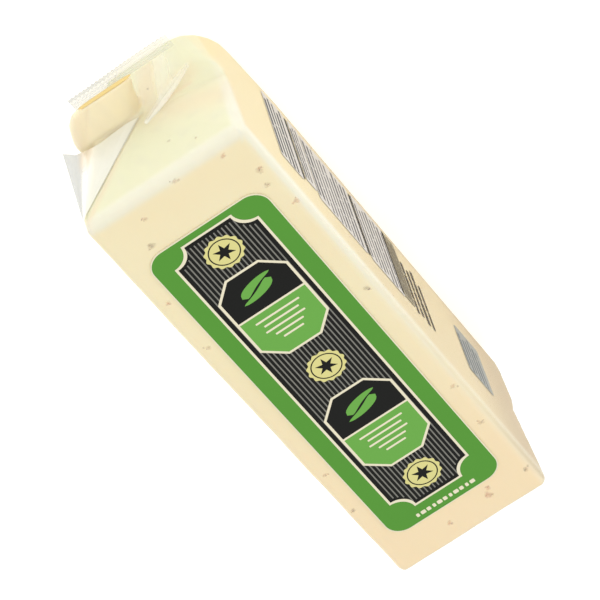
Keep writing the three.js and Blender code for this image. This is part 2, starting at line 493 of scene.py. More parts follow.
def tight_film_material(settings):
    """Film over cheese: clear, with a faint veil, pale pleats near the ends and a shine at a low angle."""
    shader = Shader("tight_film")
    wrinkle = shader.noise(160.0, 4.0, 0.6)
    gloss = shader.principled(
        base_color=linear(252, 251, 243),
        roughness=0.16,
        normal=shader.bump(wrinkle, 0.0002, 0.5),
    )
    cover = shader.film_fresnel() * 0.25 + shader.attribute("haze") + settings.veil
    return shader.finish_clear(cover, gloss)


def loose_film_material(settings):
    """Film that stands clear of the cheese. Its haze is how much of it is seen, its milk how pale that is,
    and its painted shade tint how much of the tone of shaded cheese is painted on it.
    """
    shader = Shader("loose_film")
    ripple = shader.noise(70.0, 2.0, 0.4)
    # Grey where one layer shows, as a painted reflection; milky where the film is folded
    tone = shader.mix(shader.attribute("milk"), settings.clear, settings.milky)
    gloss = shader.principled(
        base_color=shader.mix(shader.attribute("painted_shade_tint"), tone, settings.painted_shade_tint),
        roughness=ripple * 0.1 + 0.14,
        normal=shader.bump(ripple, 0.0003, 0.4),
    )
    return shader.finish_clear(shader.film_fresnel() * 0.5 + shader.attribute("haze"), gloss)


def printed_material(name, rgb, roughness=0.42):
    """Ink on film: an even colour with a faint grain."""
    shader = Shader(name)
    grain = shader.noise(1500.0, 2.0)
    cloud = shader.noise(40.0)
    darker = [c * 0.86 for c in rgb]
    base = shader.mix(cloud * 0.35 + grain.step(0.5, 0.8) * 0.25, rgb, darker)
    surface = shader.principled(
        base_color=base,
        roughness=grain * 0.12 + roughness,
        specular_ior_level=0.15,
        normal=shader.bump(grain, 0.00001),
    )
    return shader.finish(surface)


# The cheese and its tight film

# Creases of the folded end: points as (x, rise over the end, height over the fold), then width and depth,
# all in millimetres, and how much painted shade lies along the crease. Entries with no depth are painted
# shade alone
CREASES = [
    ([(-41, -1, 46), (-37.2, 0, 43), (-23.8, 0, 26.9), (-10, 0, 9.5), (-0.2, 0, 0.2)],
     1.8, 0.1, 0.3),
    ([(-31, 0.3, 0), (3, 0.3, 0)], 1.6, 0.3, 0.25),
    ([(-29, 1, 0), (-22, 11, 0), (-16, 19, 0)], 1, 0.3, 0.2),
    ([(4, 0, 0), (12, -1.5, 0), (24, -3.6, 0), (41.5, -6.8, 0)], 1.3, 0.3, 0.1),
    ([(8, -1, 0.5), (16, -2.2, -2.5), (26, -3.6, -4.2)], 1.6, 0.4, 0.7),
    ([(15, -2.2, -7), (27, -3.6, -9)], 5, 0, 0.4),
    ([(10, 0, 4), (20, -1.2, 8), (36, -2, 13)], 10, 0, 0.3),
    ([(-30, 3, -3), (-24, 14, -3)], 5, 0, 0.22),
    ([(-9, 0, -17), (-5, 0, -44)], 1.4, 0.5, 0.3),
    ([(-26, -8, -16), (-24, -19, -44)], 1.6, 0.6, 0.3),
    ([(4, 0, -8), (11, -1, -26)], 5.5, 0, 0.36),
]
CREASE_REACH = 25 * MM
FINE_END = 9 * MM
LABEL_MARGIN = 6 * MM


def at_end(end, x, rise, height):
    """A place near an end, from millimetres across, beyond the end plane and over the fold."""
    return (x * MM, end * (END_Y + rise * MM), FOLD_Z + height * MM)


def end_rise(points):
    """How far each point lies beyond the nearer end plane."""
    return np.abs(points[:, 1]) - END_Y


def edge_band(first, first_reach, second, second_reach):
    """1 near the edge between two faces, 0 where the distance from either face passes its reach."""
    share = np.maximum(first / (first_reach * MM), second / (second_reach * MM))
    return 1 - ramp(share, 0.6, 1.4)


def painted_edge_highlight(points):
    """Painted highlight: 1 on the edges round the top end's panel and, less, on the long edge beside it."""
    across, along, up = points.T
    from_right, from_end, from_label = LOAF_HIGH.x - across, END_Y - along, LOAF_HIGH.z - up
    front = edge_band(from_end, 5.5, from_label, 5.0)
    right = edge_band(from_end, 7.0, from_right, 4.0) * ramp(up, 25 * MM, 60 * MM)
    beside = edge_band(from_right, 2.5, from_label, 9.0) * (0.4 + 0.55 * ramp(along, -0.1, 0.1))
    return np.maximum.reduce([0.9 * front, right, beside]) * (1 - neck_share(points))


def neck_share(points):
    """1 on the necks and 0 on the loaf."""
    return ramp(end_rise(points), 0.5 * MM, 2.5 * MM)


def end_haze_and_sheen(points, normals, shade):
    """1 on the end panels, less in the shade of the creases, 0 elsewhere. Its tone is partly the haze of the
    slacker film and partly a painted sheen of light on it.
    """
    facing = ramp(np.abs(normals[:, 1]), 0.5, 0.9) * ramp(end_rise(points), -20 * MM, -8 * MM)
    return facing * np.clip(1 - 1.6 * shade, 0, 1)


def side_painted_shade(points):
    """How much painted shade darkens the right side: least at the top end, most at the bottom end and the
    back.
    """
    along, up = points[:, 1], points[:, 2]
    by_place = 0.35 * (1 - ramp(along, 0, 0.09)) + 0.6 * (1 - ramp(along, -0.13, -0.07))
    by_back = 0.6 * (1 - ramp(up, 3 * MM, 11 * MM))
    return np.clip(0.05 + by_place + by_back, 0, 1)


def creased(points, normals):
    """The points pressed in along the creases, and how shaded each is."""
    pressed = np.zeros(len(points))
    shade = np.zeros(len(points))
    for end in ENDS.values():
        near = np.nonzero(points[:, 1] * end > END_Y - CREASE_REACH)[0]
        for path, width, depth, dark in CREASES:
            places = [at_end(end, *point) for point in path]
            share = np.exp(-(distance_to_path(points[near], places) / (width * MM)) ** 2)
            pressed[near] = np.maximum(pressed[near], depth * MM * share)
            shade[near] = np.maximum(shade[near], dark * share)
    return points - normals * pressed[:, None], shade


def smoothed_loaf(settings):
    """The solid's own form with soft edges, as a mesh that is finer at the ends."""
    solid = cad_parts["wrapped_loaf"]
    mesh = solid.data.copy()
    with editing(mesh) as work:
        bmesh.ops.remove_doubles(work, verts=work.verts, dist=0.01 * MM)
    remesh = {"mode": "VOXEL", "voxel_size": settings.voxel, "adaptivity": 0.0, "use_smooth_shade": True}
    smooth = {"factor": 0.5, "iterations": 4}
    mesh = with_modifiers(mesh, ("REMESH", remesh), ("SMOOTH", smooth), ("SHRINKWRAP", {"target": solid}))
    with editing(mesh) as work:
        ends = [e for e in work.edges if min(abs(v.co.y) for v in e.verts) > END_Y - FINE_END]
        bmesh.ops.subdivide_edges(work, edges=ends, cuts=1, use_grid_fill=True)
    return with_modifiers(mesh, ("SMOOTH", {"factor": 0.4, "iterations": 2}))


def under_label(points):
    """1 under the label, fading out beyond its edge."""
    share = ramp(points[:, 2], LOAF_HIGH.z - 3 * MM, LOAF_HIGH.z - 1 * MM)
    for axis, middle, half in ((0, LABEL_X, LABEL_WIDTH / 2), (1, LABEL_Y, LABEL_LENGTH / 2)):
        share = share * (1 - ramp(np.abs(points[:, axis] - middle), half, half + LABEL_MARGIN))
    return share


def under_side_print(points):
    """1 on the right side, where the printed film is stretched flat."""
    return ramp(points[:, 0], LOAF_HIGH.x - 2 * MM, LOAF_HIGH.x - 0.5 * MM)


def uneven(points, normals, amount):
    """Gentle dents and swells, none under the print or on the face that the loaf lies on."""
    wave = 0.7 * noise_at(points, 30.0, 1) + 0.3 * noise_at(points, 90.0, 2)
    resting = ramp(points[:, 2], 0.5 * MM, 8 * MM)
    free = (1 - under_label(points)) * (1 - under_side_print(points)) * resting
    return points + normals * (amount * free * (wave + 0.3))[:, None]


class CHEESE_OT_body(bpy.types.Operator):
    """Adds the cheese and the film that lies tight round it"""

    bl_idname = "cheese.body"
    bl_label = "Cheese and Tight Film"

    def execute(self, context):
        scene = context.scene
        settings, film = scene.cheese_body, scene.cheese_film
        mesh = smoothed_loaf(settings)
        flat, outward = points_of(mesh), normals_of(mesh)
        points, shade = creased(uneven(flat, outward, settings.sag), outward)
        set_points(mesh, points)
        normals = normals_of(mesh)
        wrap = mesh.copy()
        looks = {
            # painted highlight along the edges
            "edge": painted_edge_highlight(flat),
            # painted shade on the right side, and how deep it grows
            "side": ramp(outward[:, 0], 0.4, 0.9),
            "deep": side_painted_shade(flat),
            # film haze and painted sheen on the end panels
            "end": end_haze_and_sheen(flat, outward, shade),
            # painted light on the necks
            "neck": neck_share(flat),
            "crease": shade,
        }
        for name, values in looks.items():
            store_attribute(mesh, name, values)
        mesh.shade_smooth()
        new_piece("cheese_body", mesh, cheese_material(settings), ["wrapped_loaf"])
        self.pleat(wrap, points, normals, film.gap)
        new_piece("film_wrap", wrap, tight_film_material(film), ["wrapped_loaf"])
        return {"FINISHED"}

    def pleat(self, wrap, points, normals, gap):
        """Lifts the film off the cheese, unevenly and with pale pleats near the ends."""
        pleats = noise_at(points * np.array([1.0, 0.25, 1.0]), 170.0, 4)
        near_end = ramp(end_rise(points), -14 * MM, 0)
        lift = gap * (1 + 0.4 * pleats * near_end)
        set_points(wrap, points + normals * lift[:, None])
        store_attribute(wrap, "haze", 0.10 * near_end * np.clip(pleats, 0, 1))
        wrap.shade_smooth()


# The flecks of pepper

# Flecks that show in the photo on the label's side: x, y and size in millimetres, and tone from 0 to 1
SHOWN_FLECKS = [
    (35.3, 113.4, 3.4, 0.2), (39, 88, 2.6, 0.5), (33.9, 104, 2.6, 0.2), (27, 131, 2.4, 0.5),
    (37, 24, 2.6, 0.9), (37.4, -54.4, 2.2, 0.2), (36.4, -83, 2.6, 0.2), (37.9, -123.7, 2.8, 0.9),
    (15.7, -125, 4, 0.5), (18, -121, 2.4, 0.5), (-7.6, -126.6, 2.6, 0.5), (3.6, 134, 2.4, 0.2),
    (-23.9, 111.3, 3, 0.9), (-38.5, -86.6, 2.2, 0.9), (-36, 79, 2.2, 0.5), (-36.3, 45, 2, 0.2),
    (-37, -58, 2, 0.2), (-18, 125.6, 2.2, 0.2),
]
# The same on the top end: x and height in millimetres, size and tone
SHOWN_END_FLECKS = [(8.8, 73.9, 3, 0.2), (21, 83.1, 2.6, 0.2), (7.5, 32.4, 2.4, 0.9)]
# The mesh of a shown fleck is wider than what is seen of it, because its rim is clear
SHOWN_SCALE = 1.7
# Crumbs beside each fleck of the label's side, as shares of its size
CRUMB_SHARES = (0.9, 0.6)
# Flecks scattered on the other faces: ranges of x, y and height in metres, and the faces
SCATTER_RANGES = [(-0.036, 0.036), (-0.132, 0.132), (0.008, 0.088)]
SCATTER_FACES = [(1, 0, 0), (-1, 0, 0), (0, 0, -1), (0, -1, 0)]
# Rings of a fleck from its middle out: share of its size, height in millimetres and strength of its colour
FLECK_RINGS = [(0, 0.13, 0.65), (0.35, 0.12, 0.52), (0.7, 0.10, 0.24), (1.0, 0.05, 0.0)]
FLECK_CORNERS = 14


def fleck_shape(centre, normal, size, rng):
    """A low irregular dome that fades into the cheese: its points, faces and strengths of colour."""
    side = normal.orthogonal().normalized()
    side.rotate(Quaternion(normal, rng.uniform(0, tau)))
    long = normal.cross(side)
    stretch = rng.uniform(0.5, 0.9)
    count = FLECK_CORNERS
    bulges = [rng.uniform(0.75, 1.1) for _ in range(count)]
    points = [centre + normal * FLECK_RINGS[0][1] * MM]
    for share, height, _ in FLECK_RINGS[1:]:
        for i, bulge in enumerate(bulges):
            angle = tau * i / count
            radius = size / 2 * share * bulge
            flat = side * radius * cos(angle) + long * radius * stretch * sin(angle)
            points.append(centre + flat + normal * height * MM)
    around = [(1 + i, 1 + (i + 1) % count) for i in range(count)]
    faces = [[0, i, j] for i, j in around]
    for ring in range(len(FLECK_RINGS) - 2):
        inner = ring * count
        faces += [[inner + i, inner + count + i, inner + count + j, inner + j] for i, j in around]
    strengths = [FLECK_RINGS[0][2]] + [ring[2] for ring in FLECK_RINGS[1:] for _ in range(count)]
    return points, faces, strengths


def shown_rays(spread, rng):
    """Where to look for the cheese under each shown fleck: start, direction, size and tone."""
    rays = []
    down = Vector((0, 0, -1))
    for x, y, size, tone in SHOWN_FLECKS:
        rays.append((Vector((x * MM, y * MM, 0.2)), down, SHOWN_SCALE * size * MM, tone))
        for share in CRUMB_SHARES:
            crumb = [rng.uniform(-1, 1) * spread for _ in range(2)]
            beside = Vector((x * MM + crumb[0], y * MM + crumb[1], 0.2))
            rays.append((beside, down, share * size * MM, rng.choice([tone, 0.2, 0.5])))
    for x, z, size, tone in SHOWN_END_FLECKS:
        rays.append((Vector((x * MM, 0.3, z * MM)), Vector((0, -1, 0)), size * MM, tone))
    return rays


def scattered_rays(count, rng):
    """The same for flecks scattered on the other faces."""
    centre = (LOAF_LOW + LOAF_HIGH) / 2
    rays = []
    for _ in range(count):
        face = rng.choice(SCATTER_FACES)
        spot = Vector([rng.uniform(low, high) for low, high in SCATTER_RANGES])
        start = Vector(spot[k] if face[k] == 0 else centre[k] + face[k] * 0.3 for k in range(3))
        size = rng.uniform(1.6, 3.4) * MM
        rays.append((start, -Vector(face), size, rng.choice([0.1, 0.2, 0.5, 0.5, 0.9])))
    return rays


class CHEESE_OT_flecks(bpy.types.Operator):
    """Adds the flecks of pepper at the cheese surface"""

    bl_idname = "cheese.flecks"
    bl_label = "Pepper Flecks"

    def execute(self, context):
        settings = context.scene.cheese_flecks
        rng = random.Random(5)
        body = bpy.data.objects["cheese_body"]
        rays = shown_rays(settings.spread, rng) + scattered_rays(settings.count, rng)
        vertices, faces, tones, strengths = [], [], [], []
        for start, direction, size, tone in rays:
            hit, place, normal, _ = body.ray_cast(start, direction)
            if not hit:
                raise RuntimeError("a fleck misses the cheese")
            points, shape, strength = fleck_shape(place, normal, size, rng)
            faces += [[len(vertices) + i for i in face] for face in shape]
            vertices += points
            tones += [tone] * len(points)
            strengths += strength
        mesh = mesh_from(vertices, faces, smooth=True)
        store_attribute(mesh, "tone", np.array(tones))
        store_attribute(mesh, "strength", np.array(strengths))
        new_piece("pepper_flecks", mesh, fleck_material(settings))
        return {"FINISHED"}


# The loose film at the ends


def grid_mesh(rows, columns, point):
    """A sheet of rows by columns cells, where point gives a place for u and v from 0 to 1."""
    vertices = [point(j / columns, i / rows) for i in range(rows + 1) for j in range(columns + 1)]
    faces = []
    for i in range(rows):
        for j in range(columns):
            a = i * (columns + 1) + j
            faces.append([a, a + 1, a + columns + 2, a + columns + 1])
    return mesh_from(vertices, faces, smooth=True)


def film_sheet(rows, columns, point, look):
    """A sheet of loose film, where look gives its haze, milk and painted shade tint for the u and v of its
    points.
    """
    mesh = grid_mesh(rows, columns, point)
    v, u = np.mgrid[0:rows + 1, 0:columns + 1]
    for name, values in zip(("haze", "milk", "painted_shade_tint"), look(u.ravel() / columns, v.ravel() / rows)):
        store_attribute(mesh, name, np.broadcast_to(values, len(mesh.vertices)))
    return mesh


# Edges of the loose film as (x, rise over the end, height over the fold), and its other sizes, in millimetres
NECK_SIDE = [(3.6, 1, 0), (6.1, 11, -0.5), (8.4, 17, -0.6), (8.9, 21, -0.6)]
WEB_FOLD = [(1.3, 0.3, 7.8), (8, 0.9, 3.8), (14, 2, 1.2), (22, 4.6, 0), (31.6, 8.2, -0.6)]
FOLD_WIDTHS = (2.0, 3.6, 4.6, 3.8, 2.0)
FOLD_HAZE = (0.85, 0.7, 0.7, 0.6, 0.25)
WEB_RIGHT = [(31.6, 8.2, -0.6), (32.5, 21, -0.6)]
POCKET_SIDE = [(10.5, 2, 1), (12.3, 5, 0), (19.3, 18.2, -0.6), (20.5, 21, -0.6)]
EAR_FOOT = (-40.6, 0.5, 42.5)
EAR_EDGE = [
    (-39.5, 2.7, -4.5), (-36.5, 2.4, -1.8), (-33.9, 2, 0.6), (-28, 1.3, 1.6),
    (-21.4, 1.4, 2.6), (-14.7, 1.5, 1.9), (-7, 1.3, 1), (-0.5, 0.3, 0.8),
]
POCKET_SHARE = 0.4
SEAL_FOOT = 21.0
SEAL_TOP = 28.0
SEAL_HEIGHT = -0.8
TOOTH_PITCH = 2.2
TOOTH_HEIGHT = 0.7
SEAL_LINE = (-19.5, 9.0)
SEAL_LINE_RISE = 20.9
SEAL_LINE_RADIUS = 0.85


def hump(share):
    """0 at both ends and 1 in the middle."""
    return sin(pi * share)


def on_path(path, share):
    """The point at a share of the number of steps along a path."""
    place = share * (len(path) - 1)
    index = min(int(place), len(path) - 2)
    return Vector(path[index]).lerp(Vector(path[index + 1]), place - index)


def seal_band(film, end):
    """The ribbed band of the seal, toothed along its top edge."""
    left, right = SEAL_LOW.x / MM, SEAL_HIGH.x / MM
    teeth = round((right - left) / TOOTH_PITCH)

    def point(u, v):
        tooth = abs((u * teeth + 0.5) % 1 - 0.5) * 2
        rise = SEAL_FOOT + v * (SEAL_TOP - SEAL_FOOT + TOOTH_HEIGHT * (1 - tooth))
        rib = sin(tau * rise * MM / film.crimp_pitch) * film.crimp_depth / MM * min(1, 6 * v)
        bow = 0.5 * sin(5 * u + 1.0) * v
        return at_end(end, left + u * (right - left), rise, rib + bow + SEAL_HEIGHT)

    def look(u, v):
        edge = np.exp(-((v - 0.86) / 0.08) ** 2)
        ribs = (0.5 + 0.5 * np.cos(tau * 4 * v)) ** 4
        milk = 0.5 * ramp(u, 0.25, 0.7)
        haze = 0.36 + 0.1 * ribs + 0.24 * edge * (1 - milk)
        return haze * (1 - 0.4 * ramp(u, 0.9, 1.0)), milk, 0.0

    return film_sheet(30, 8 * teeth, point, look)


def seal_line(end):
    """Cheese pressed into the foot of the seal, as a thin roll that tapers at its ends."""
    left, right = SEAL_LINE

    def point(u, v):
        radius = SEAL_LINE_RADIUS * sqrt(max(0.0, 1 - (2 * v - 1) ** 6))
        rise = SEAL_LINE_RISE + radius * cos(tau * u)
        height = SEAL_HEIGHT + radius * sin(tau * u)
        return at_end(end, left + v * (right - left), rise, height)

    return grid_mesh(60, 16, point)


def seal_web(end):
    """The bare film between the neck, the seal and the end. Beside the neck it makes a clear pocket."""
    def point(u, v):
        if u < POCKET_SHARE:
            near, far, share = NECK_SIDE, POCKET_SIDE, u / POCKET_SHARE
        else:
            near, far, share = POCKET_SIDE, WEB_RIGHT, (u - POCKET_SHARE) / (1 - POCKET_SHARE)
        foot_shift = on_path(WEB_FOLD, u) - Vector(near[0]).lerp(Vector(far[0]), share)
        place = on_path(near, v).lerp(on_path(far, v), share) + foot_shift * (1 - v) ** 2
        swell = 0.5 * hump(share) * hump(v)
        return at_end(end, place.x, place.y, place.z + swell)

    def look(u, v):
        # The milky panel right of the pocket is painted light; the pocket gets faint haze and a painted shade
        # tint
        panel = ramp(u, 0.35, 0.42) * (1 - ramp(u, 0.5, 1.0))
        pocket = (1 - ramp(u, 0.3, 0.4)) * ramp(u, 0.0, 0.1)
        return 0.02 + 0.25 * pocket + 0.4 * panel, 1.0, 0.7 * pocket

    return film_sheet(24, 50, point, look)


def web_fold(end):
    """The fold of film over the web, as a low ribbon."""
    stops = np.linspace(0, 1, len(WEB_FOLD))
    outward = Vector((0, 0.75, 0.65))

    def point(u, v):
        ahead = on_path(WEB_FOLD, min(1, u + 0.05)) - on_path(WEB_FOLD, max(0, u - 0.05))
        side = ahead.cross(outward).normalized()
        width = np.interp(u, stops, FOLD_WIDTHS)
        crown = 0.12 * (1 - (2 * v - 1) ** 2)
        return at_end(end, *(on_path(WEB_FOLD, u) + side * width * (v - 0.5) + outward * crown))

    def look(u, v):
        across = 1 - 0.5 * np.abs(2 * v - 1) ** 3
        return np.interp(u, stops, FOLD_HAZE) * across, 1.0, 0.0

    return film_sheet(10, 60, point, look)


def ear_fold(end):
    """The ear: one fold of empty film from the left label corner to its tip and to the neck."""
    foot = Vector(EAR_FOOT)

    def point(u, v):
        place = foot.lerp(on_path(EAR_EDGE, u), v)
        swell = (0.9 * hump(min(1, 3.2 * u)) + 0.7 * hump(u)) * hump(v)
        return at_end(end, place.x, place.y + swell, place.z)

    def look(u, v):
        tip = 1 - ramp(u, 0.32, 0.42)
        rim = 1 - ramp(u, 0.0, 0.03)
        # painted shade tint between the ear's tip and its milky band
        painted_shade_tint = ramp(u, 0.28, 0.38) * (1 - ramp(u, 0.44, 0.52)) * ramp(v, 0.6, 0.85)
        band = ramp(u, 0.38, 0.5) * (1 - 0.5 * ramp(u, 0.96, 1.0))
        haze = 0.04 + 0.66 * tip + 0.1 * rim + 0.5 * painted_shade_tint + 0.76 * band
        return haze, ramp(u, 0.36, 0.46), painted_shade_tint

    return film_sheet(26, 70, point, look)


class CHEESE_OT_seals(bpy.types.Operator):
    """Adds the crimped seals, the webs and folds beside the necks and the ears of slack film"""

    bl_idname = "cheese.seals"
    bl_label = "Seals and Loose Film"

    def execute(self, context):
        film = context.scene.cheese_film
        loose = loose_film_material(film)
        gold = printed_material("seal_line", film.gold, 0.3)
        for name, end in ENDS.items():
            seal, ear = ["end_seal_" + name], ["film_ear_" + name]
            new_piece("seal_band_" + name, seal_band(film, end), loose, seal)
            new_piece("seal_line_" + name, seal_line(end), gold)
            new_piece("seal_web_" + name, seal_web(end), loose, seal)
            new_piece("web_fold_" + name, web_fold(end), loose, seal)
            new_piece("ear_fold_" + name, ear_fold(end), loose, ear)
        return {"FINISHED"}


# The label

LABEL_RADIUS = 9.5 * MM
# How far the cream edge reaches under the label, down to the film
LABEL_SKIRT = 0.3 * MM
# One layer of ink
INK = 0.03 * MM
PANEL_CORNER = 9 * MM
PANEL_LINE = 1.2 * MM
STRIPE_INSET = 2.6 * MM
STRIPE_WIDTH = 0.65 * MM
# The plaques and the round seals lie at these distances over and under the panel's middle
PLAQUE_PLACE = 46 * MM
PLAQUE_SIZE = (38 * MM, 56 * MM)
PLAQUE_CUT = 10 * MM
PLAQUE_LINE = 1.3 * MM
PLAQUE_BARS = (0.78, 0.62, 0.7, 0.5, 0.36)
# The two pods of a plaque: turn in degrees and height in millimetres
PODS = ((28, 4.0), (208, -2.5))
POD_LENGTH = 19 * MM
ROSETTE_PLACE = 88 * MM
ROSETTE_LOBES = 14
# The row of small bars along the label's foot
FOOT_BARS = 11
FOOT_PITCH = 3.1 * MM
FOOT_HEIGHT = 2.3 * MM
FOOT_PLACE = 4.6 * MM


def on_label(x, y, height):
    return (LABEL_X + x, LABEL_Y + y, LABEL_HIGH.z + height)


def pepper_outline(size):
    """A curved pod that tapers to its tip."""
    steps = 14
    upper, lower = [], []
    for i in range(steps + 1):
        t = i / steps
        x = size * (t - 0.5)
        bend = 0.32 * size * (t - 0.3) ** 2
        half = 0.15 * size * sqrt(max(0.0, 1 - t)) * (1 - exp(-14 * (t + 0.02)))
        upper.append((x, half - bend))
        lower.append((x, -half - bend))
    return upper + lower[-2:0:-1]


def add_stripes(stripes, settings):
    """Fine stripes along the dark panel, cut short at its hollow corners."""
    width = settings.panel_width - 2 * STRIPE_INSET
    half = settings.panel_length / 2 - STRIPE_INSET
    count = int(width / settings.stripe_pitch)
    for i in range(count + 1):
        x = (i - count / 2) * settings.stripe_pitch
        past = PANEL_CORNER ** 2 - (settings.panel_width / 2 - abs(x)) ** 2
        reach = half - (sqrt(past) if past > 0 else 0)
        bar = rounded_rectangle(STRIPE_WIDTH, 2 * reach, 0.3 * MM, 3)
        stripes.plate(moved(bar, x, settings.panel_shift), 2 * INK, 3 * INK)


def add_border(cream, border):
    """The pale border, which reaches down round the label's edge."""
    outer = rounded_rectangle(LABEL_WIDTH + 2 * INK, LABEL_LENGTH + 2 * INK, LABEL_RADIUS + INK)
    inner = rounded_rectangle(LABEL_WIDTH - 2 * border, LABEL_LENGTH - 2 * border, LABEL_RADIUS - border)
    cream.ring(outer, inner, LABEL_LOW.z - LABEL_HIGH.z - LABEL_SKIRT, 2 * INK)


def add_panel(layers, settings):
    """The dark panel with hollow corners and its pale line."""
    def outline(grown):
        shape = ticket(settings.panel_width + grown, settings.panel_length + grown, PANEL_CORNER)
        return moved(shape, 0, settings.panel_shift)

    layers["dark"].plate(outline(0), 0, 2 * INK)
    layers["cream"].ring(outline(PANEL_LINE), outline(-PANEL_LINE), 2 * INK, 4 * INK)


def add_foot_bars(cream):
    """A row of small bars of three widths along the label's foot."""
    for i in range(FOOT_BARS):
        bar = rounded_rectangle((1.6 + 0.5 * (i * 2 % 3)) * MM, FOOT_HEIGHT, 0.5 * MM, 3)
        place = ((i - FOOT_BARS // 2) * FOOT_PITCH, FOOT_PLACE - LABEL_LENGTH / 2)
        cream.plate(moved(bar, *place), 0, 2 * INK)


class CHEESE_OT_label(bpy.types.Operator):
    """Prints the label: border, striped panel, plaques and rosettes"""

    bl_idname = "cheese.label"
    bl_label = "Label"

    def execute(self, context):
        settings = context.scene.cheese_label
        layers = {name: Print(on_label) for name in ("cream", "dark", "grey", "bright", "gold")}
        middle = settings.panel_shift
        add_border(layers["cream"], settings.border)
        add_panel(layers, settings)
        add_stripes(layers["grey"], settings)
        for y in (middle - PLAQUE_PLACE, middle + PLAQUE_PLACE):
            add_plaque(layers, y)
        for y in (middle - ROSETTE_PLACE, middle, middle + ROSETTE_PLACE):
            add_rosette(layers, y)
        add_foot_bars(layers["cream"])
        for name, layer in layers.items():
            material = printed_material("ink_" + name, getattr(settings, name))
            new_piece("label_" + name, layer.mesh(), material)
        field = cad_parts["front_label"].data
        field.materials.clear()
        field.materials.append(printed_material("ink_green", settings.green))
        return {"FINISHED"}


def add_plaque(layers, y):
    """An eight-sided plaque, dark over bright green, with two pods in its dark half and bars below."""
    width, height = PLAQUE_SIZE
    rim = 2 * PLAQUE_LINE
    outer = moved(octagon(width, height, PLAQUE_CUT), 0, y)
    inner = moved(octagon(width - rim, height - rim, PLAQUE_CUT - rim * 0.3), 0, y)
    layers["cream"].plate(outer, 3 * INK, 5 * INK)
    split = y + 2 * MM
    layers["dark"].plate(clipped(inner, split + 0.6 * MM, above=True), 5 * INK, 6 * INK)
    layers["bright"].plate(clipped(inner, split - 0.6 * MM, above=False), 5 * INK, 6 * INK)
    for turn, shift in PODS:
        pod = moved(pepper_outline(POD_LENGTH), 0, y + 14 * MM + shift * MM, turn)
        layers["bright"].plate(pod, 6 * INK, 7 * INK)
    for i, share in enumerate(PLAQUE_BARS):
        bar = rounded_rectangle(share * width * 0.8, 1.1 * MM, 0.4 * MM, 3)
        layers["cream"].plate(moved(bar, 0, split - (5 + 3.6 * i) * MM), 6 * INK, 7 * INK)


def clipped(outline, level, above):
    """The part of a convex outline on one side of a level y."""
    kept = []
    for i, (x, y) in enumerate(outline):
        x2, y2 = outline[(i + 1) % len(outline)]
        inside = (y > level) == above
        if inside:
            kept.append((x, y))
        if inside != ((y2 > level) == above):
            t = (level - y) / (y2 - y)
            kept.append((x + t * (x2 - x), level))
    return kept


def add_rosette(layers, y):
    """A scalloped rosette with a dark ring and a star."""
    layers["gold"].plate(moved(rosette(9.6 * MM, ROSETTE_LOBES, 0.9 * MM), 0, y), 3 * INK, 5 * INK)
    outer, inner = (moved(rosette(radius * MM, ROSETTE_LOBES, 0), 0, y) for radius in (7.6, 7.0))
    layers["dark"].ring(outer, inner, 5 * INK, 6 * INK)
    radii = [5.4 * MM, 2.2 * MM] * 6
    star = [(r * sin(tau * i / 12), r * cos(tau * i / 12)) for i, r in enumerate(radii)]
    layers["dark"].plate(moved(star, 0, y), 5 * INK, 6 * INK)


# The print on the right side

# The print lies on the film, and is shifted along the loaf by a share of its height over the middle
SIDE_PRINT_FILM = 0.25 * MM
SIDE_LEAN = 0.09
SIDE_MIDDLE = 39.5 * MM
# Places of the two rules along the loaf in millimetres, and the size of a rule
SIDE_RULES = (71.2, 13.3)
RULE_SIZE = (52 * MM, 1.7 * MM)
# Top, bottom, back and front of each block, mean length of a bar and pitch of the lines in millimetres,
# then the tone of the bars and that of the ground
SIDE_BLOCKS = [
    (90, 74, 13, 67, 26, 3.4, "dark", "pale"),
    (67.5, 60, 12, 62, 14, 2.6, "dark", "pale"),
    (56, 17, 13, 66, 20, 3.7, "grey", "pale"),
    (9.5, -17, 12, 66, 24, 3.6, "grey", "pale"),
    (-18, -28, 12, 64, 12, 1.9, "brown", "umber"),
    (-31.5, -47, 20, 67, 18, 5.1, "brown", None),
    (-84, -104, 24, 60, 22, 3.4, "slate", "mist"),
]
SIDE_TONES = {
    "pale": (213, 206, 196), "mist": (158, 158, 150), "umber": (152, 140, 110), "grey": (96, 92, 92),
    "dark": (50, 48, 50), "black": (18, 18, 18), "brown": (76, 62, 34), "slate": (92, 98, 102),
}
# Width of a bar as a share of the lines' pitch
BAR_SHARE = 0.46


def on_side(z, y, height):
    """A place on the right side. The print leans a little, as the film does."""
    return (LOAF_HIGH.x + SIDE_PRINT_FILM + height, y + SIDE_LEAN * (z - SIDE_MIDDLE), z)


